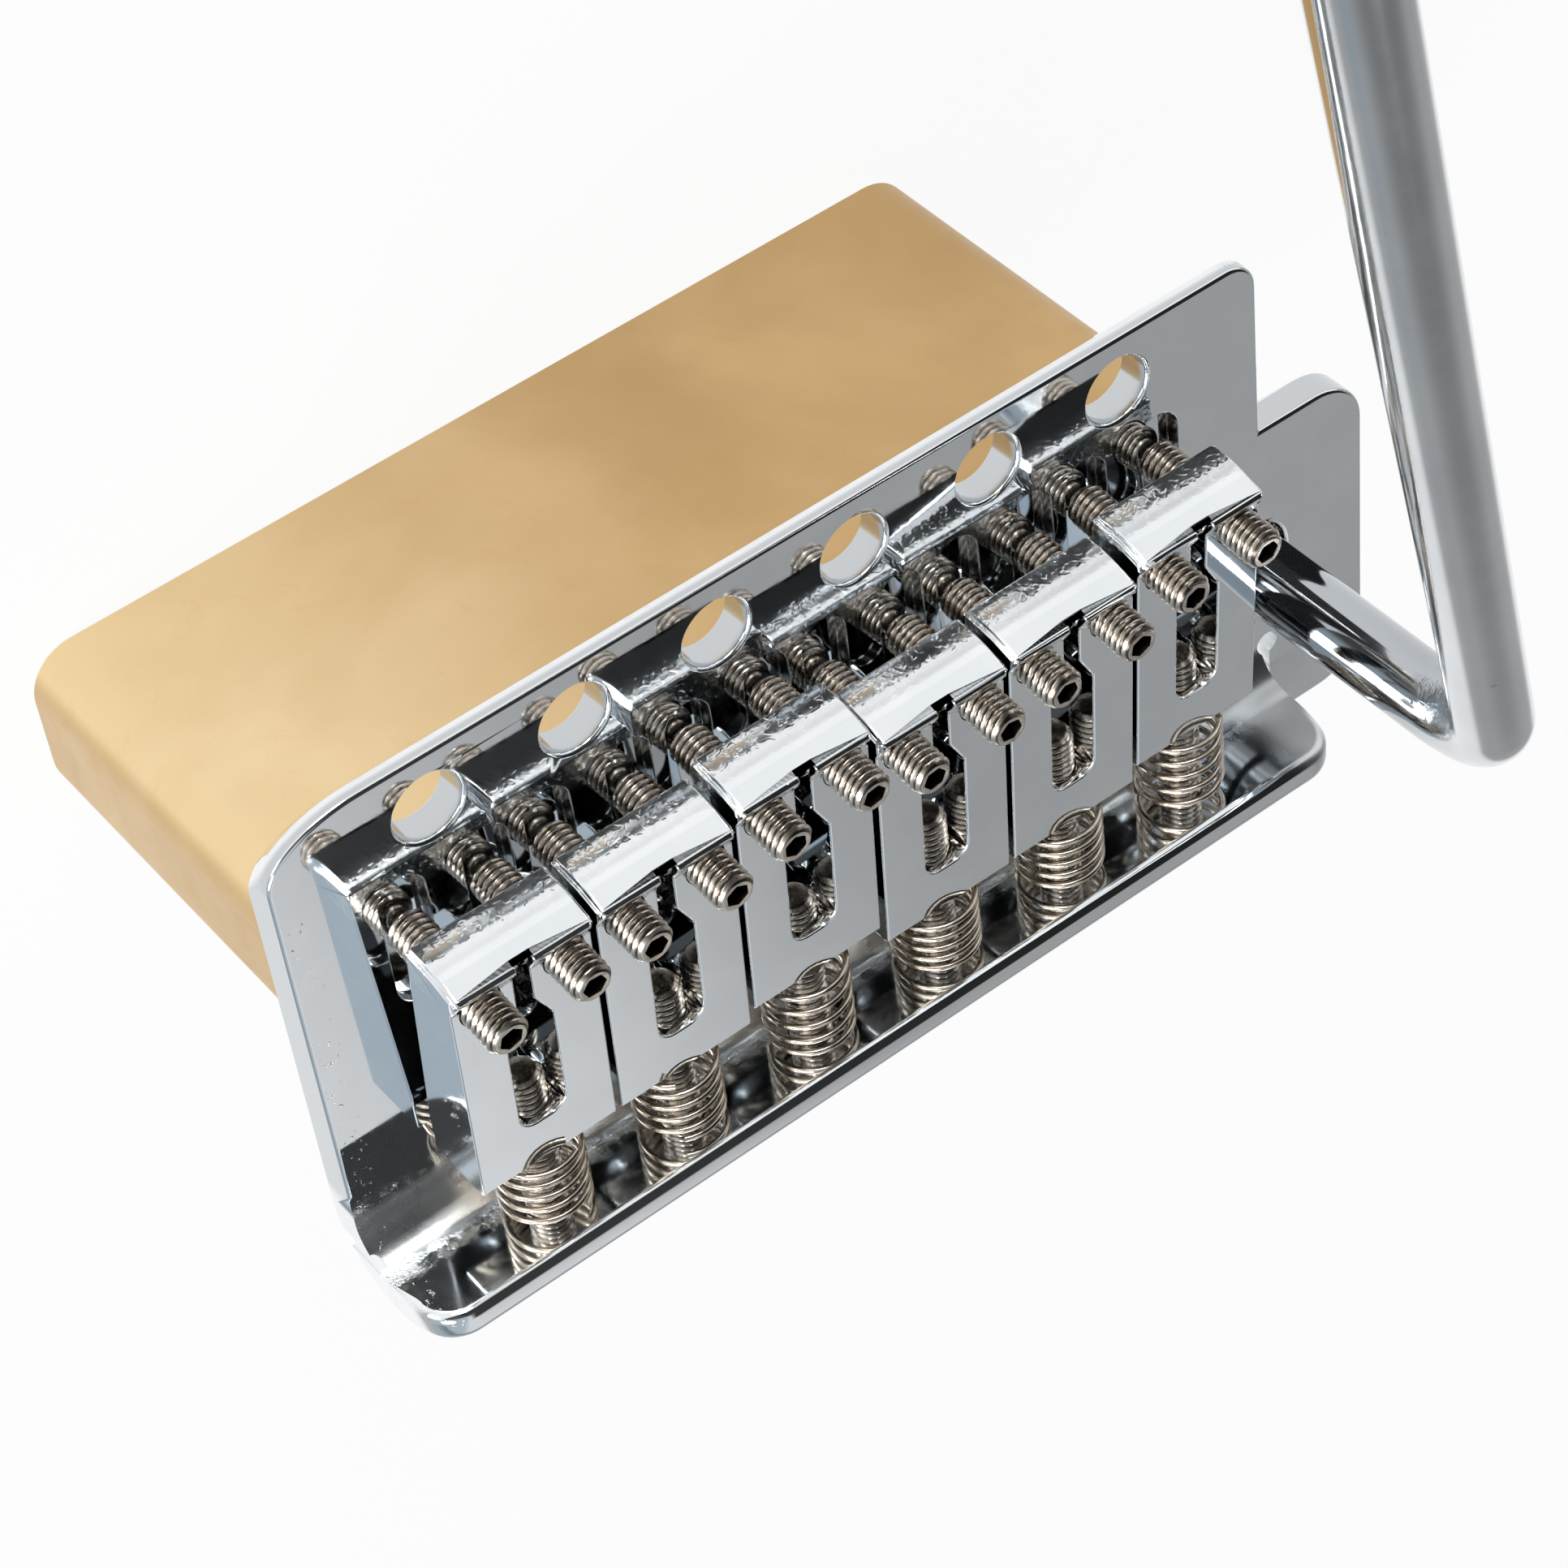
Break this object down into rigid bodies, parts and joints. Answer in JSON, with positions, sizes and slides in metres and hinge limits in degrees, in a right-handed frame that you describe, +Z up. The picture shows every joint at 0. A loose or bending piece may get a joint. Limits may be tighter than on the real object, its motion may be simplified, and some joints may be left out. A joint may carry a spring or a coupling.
{
  "type": "guitar tremolo bridge",
  "caption": "Electric guitar tremolo bridge: bent chromed plate on a brass block, adjustable saddles with springs and screws, and a swinging arm.",
  "frame": {"origin": "centre of the row of six mounting holes, on the plate's underside", "axes": "+X across the strings to the treble side, +Y along the strings towards the neck, +Z up, away from the guitar's top"},
  "size_m": [0.0842, 0.1412, 0.0895],
  "materials": {
    "chrome_plate": "mirror chrome plating over steel",
    "raw_brass": "lightly brushed, unpolished",
    "nickel_screw": "nickel plated, machine cut",
    "spring_wire": "drawn wire, bright",
    "plain_steel": "plain machined steel",
    "black_plastic": "moulded, smooth"
  },
  "bodies": {
    "bridge": {"base_plate": "chrome_plate", "tremolo_block": "raw_brass", "block_screws": "plain_steel", "arm_bush": "plain_steel", "length_spring_1": "spring_wire", "length_spring_2": "spring_wire", "length_spring_3": "spring_wire", "length_spring_4": "spring_wire", "length_spring_5": "spring_wire", "length_spring_6": "spring_wire"},
    "arm": {"tremolo_arm": "chrome_plate", "arm_tip": "black_plastic"},
    "saddle_1": {"saddle_1": "chrome_plate"},
    "length_screw_1": {"length_screw_1": "nickel_screw"},
    "height_screw_1_bass": {"height_screw_1_bass": "nickel_screw"},
    "height_screw_1_treble": {"height_screw_1_treble": "nickel_screw"},
    "saddle_2": {"saddle_2": "chrome_plate"},
    "length_screw_2": {"length_screw_2": "nickel_screw"},
    "height_screw_2_bass": {"height_screw_2_bass": "nickel_screw"},
    "height_screw_2_treble": {"height_screw_2_treble": "nickel_screw"},
    "saddle_3": {"saddle_3": "chrome_plate"},
    "length_screw_3": {"length_screw_3": "nickel_screw"},
    "height_screw_3_bass": {"height_screw_3_bass": "nickel_screw"},
    "height_screw_3_treble": {"height_screw_3_treble": "nickel_screw"},
    "saddle_4": {"saddle_4": "chrome_plate"},
    "length_screw_4": {"length_screw_4": "nickel_screw"},
    "height_screw_4_bass": {"height_screw_4_bass": "nickel_screw"},
    "height_screw_4_treble": {"height_screw_4_treble": "nickel_screw"},
    "saddle_5": {"saddle_5": "chrome_plate"},
    "length_screw_5": {"length_screw_5": "nickel_screw"},
    "height_screw_5_bass": {"height_screw_5_bass": "nickel_screw"},
    "height_screw_5_treble": {"height_screw_5_treble": "nickel_screw"},
    "saddle_6": {"saddle_6": "chrome_plate"},
    "length_screw_6": {"length_screw_6": "nickel_screw"},
    "height_screw_6_bass": {"height_screw_6_bass": "nickel_screw"},
    "height_screw_6_treble": {"height_screw_6_treble": "nickel_screw"}
  },
  "joints": [
    {"name": "arm_swing", "type": "hinge", "parent": "bridge", "child": "arm", "pos_m": [0.0368, -0.0217, 0], "axis": [0, 0, 1], "range_deg": [-180, 180]},
    {"name": "saddle_1_slide", "type": "slide", "parent": "bridge", "child": "saddle_1", "axis": [0, 1, 0], "range_m": [-0.0022, 0.0026], "deforming": ["length_spring_1"]},
    {"name": "length_screw_1_turn", "type": "hinge", "parent": "bridge", "child": "length_screw_1", "pos_m": [-0.02625, -0.035, 0.0068], "axis": [0, 1, 0], "range_deg": [-1876, 1588]},
    {"name": "height_screw_1_bass_turn", "type": "hinge", "parent": "saddle_1", "child": "height_screw_1_bass", "pos_m": [-0.02925, -0.00925, 0.01285], "axis": [0, -0.0872, 0.9962], "range_deg": [-720, 720]},
    {"name": "height_screw_1_treble_turn", "type": "hinge", "parent": "saddle_1", "child": "height_screw_1_treble", "pos_m": [-0.02325, -0.00925, 0.01285], "axis": [0, -0.0872, 0.9962], "range_deg": [-720, 720]},
    {"name": "saddle_2_slide", "type": "slide", "parent": "bridge", "child": "saddle_2", "axis": [0, 1, 0], "range_m": [-0.0022, 0.0026], "deforming": ["length_spring_2"]},
    {"name": "length_screw_2_turn", "type": "hinge", "parent": "bridge", "child": "length_screw_2", "pos_m": [-0.01575, -0.035, 0.0068], "axis": [0, 1, 0], "range_deg": [-1876, 1588]},
    {"name": "height_screw_2_bass_turn", "type": "hinge", "parent": "saddle_2", "child": "height_screw_2_bass", "pos_m": [-0.01875, -0.00925, 0.01285], "axis": [0, -0.0872, 0.9962], "range_deg": [-720, 720]},
    {"name": "height_screw_2_treble_turn", "type": "hinge", "parent": "saddle_2", "child": "height_screw_2_treble", "pos_m": [-0.01275, -0.00925, 0.01285], "axis": [0, -0.0872, 0.9962], "range_deg": [-720, 720]},
    {"name": "saddle_3_slide", "type": "slide", "parent": "bridge", "child": "saddle_3", "axis": [0, 1, 0], "range_m": [-0.0032, 0.0016], "deforming": ["length_spring_3"]},
    {"name": "length_screw_3_turn", "type": "hinge", "parent": "bridge", "child": "length_screw_3", "pos_m": [-0.00525, -0.035, 0.0068], "axis": [0, 1, 0], "range_deg": [-1156, 2308]},
    {"name": "height_screw_3_bass_turn", "type": "hinge", "parent": "saddle_3", "child": "height_screw_3_bass", "pos_m": [-0.00825, -0.00825, 0.01285], "axis": [0, -0.0872, 0.9962], "range_deg": [-720, 720]},
    {"name": "height_screw_3_treble_turn", "type": "hinge", "parent": "saddle_3", "child": "height_screw_3_treble", "pos_m": [-0.00225, -0.00825, 0.01285], "axis": [0, -0.0872, 0.9962], "range_deg": [-720, 720]},
    {"name": "saddle_4_slide", "type": "slide", "parent": "bridge", "child": "saddle_4", "axis": [0, 1, 0], "range_m": [-0.0015, 0.0033], "deforming": ["length_spring_4"]},
    {"name": "length_screw_4_turn", "type": "hinge", "parent": "bridge", "child": "length_screw_4", "pos_m": [0.00525, -0.035, 0.0068], "axis": [0, 1, 0], "range_deg": [-2380, 1084]},
    {"name": "height_screw_4_bass_turn", "type": "hinge", "parent": "saddle_4", "child": "height_screw_4_bass", "pos_m": [0.00225, -0.00995, 0.01285], "axis": [0, -0.0872, 0.9962], "range_deg": [-720, 720]},
    {"name": "height_screw_4_treble_turn", "type": "hinge", "parent": "saddle_4", "child": "height_screw_4_treble", "pos_m": [0.00825, -0.00995, 0.01285], "axis": [0, -0.0872, 0.9962], "range_deg": [-720, 720]},
    {"name": "saddle_5_slide", "type": "slide", "parent": "bridge", "child": "saddle_5", "axis": [0, 1, 0], "range_m": [-0.00165, 0.00315], "deforming": ["length_spring_5"]},
    {"name": "length_screw_5_turn", "type": "hinge", "parent": "bridge", "child": "length_screw_5", "pos_m": [0.01575, -0.035, 0.0068], "axis": [0, 1, 0], "range_deg": [-2272, 1192]},
    {"name": "height_screw_5_bass_turn", "type": "hinge", "parent": "saddle_5", "child": "height_screw_5_bass", "pos_m": [0.01275, -0.0098, 0.01285], "axis": [0, -0.0872, 0.9962], "range_deg": [-720, 720]},
    {"name": "height_screw_5_treble_turn", "type": "hinge", "parent": "saddle_5", "child": "height_screw_5_treble", "pos_m": [0.01875, -0.0098, 0.01285], "axis": [0, -0.0872, 0.9962], "range_deg": [-720, 720]},
    {"name": "saddle_6_slide", "type": "slide", "parent": "bridge", "child": "saddle_6", "axis": [0, 1, 0], "range_m": [-0.0028, 0.002], "deforming": ["length_spring_6"]},
    {"name": "length_screw_6_turn", "type": "hinge", "parent": "bridge", "child": "length_screw_6", "pos_m": [0.02625, -0.035, 0.0068], "axis": [0, 1, 0], "range_deg": [-1444, 2020]},
    {"name": "height_screw_6_bass_turn", "type": "hinge", "parent": "saddle_6", "child": "height_screw_6_bass", "pos_m": [0.02325, -0.00865, 0.01285], "axis": [0, -0.0872, 0.9962], "range_deg": [-720, 720]},
    {"name": "height_screw_6_treble_turn", "type": "hinge", "parent": "saddle_6", "child": "height_screw_6_treble", "pos_m": [0.02925, -0.00865, 0.01285], "axis": [0, -0.0872, 0.9962], "range_deg": [-720, 720]}
  ],
  "couplings": [
    {"joint": "length_screw_1_turn", "follows": "saddle_1_slide", "rad_per_m": -12566},
    {"joint": "length_screw_2_turn", "follows": "saddle_2_slide", "rad_per_m": -12566},
    {"joint": "length_screw_3_turn", "follows": "saddle_3_slide", "rad_per_m": -12566},
    {"joint": "length_screw_4_turn", "follows": "saddle_4_slide", "rad_per_m": -12566},
    {"joint": "length_screw_5_turn", "follows": "saddle_5_slide", "rad_per_m": -12566},
    {"joint": "length_screw_6_turn", "follows": "saddle_6_slide", "rad_per_m": -12566}
  ]
}
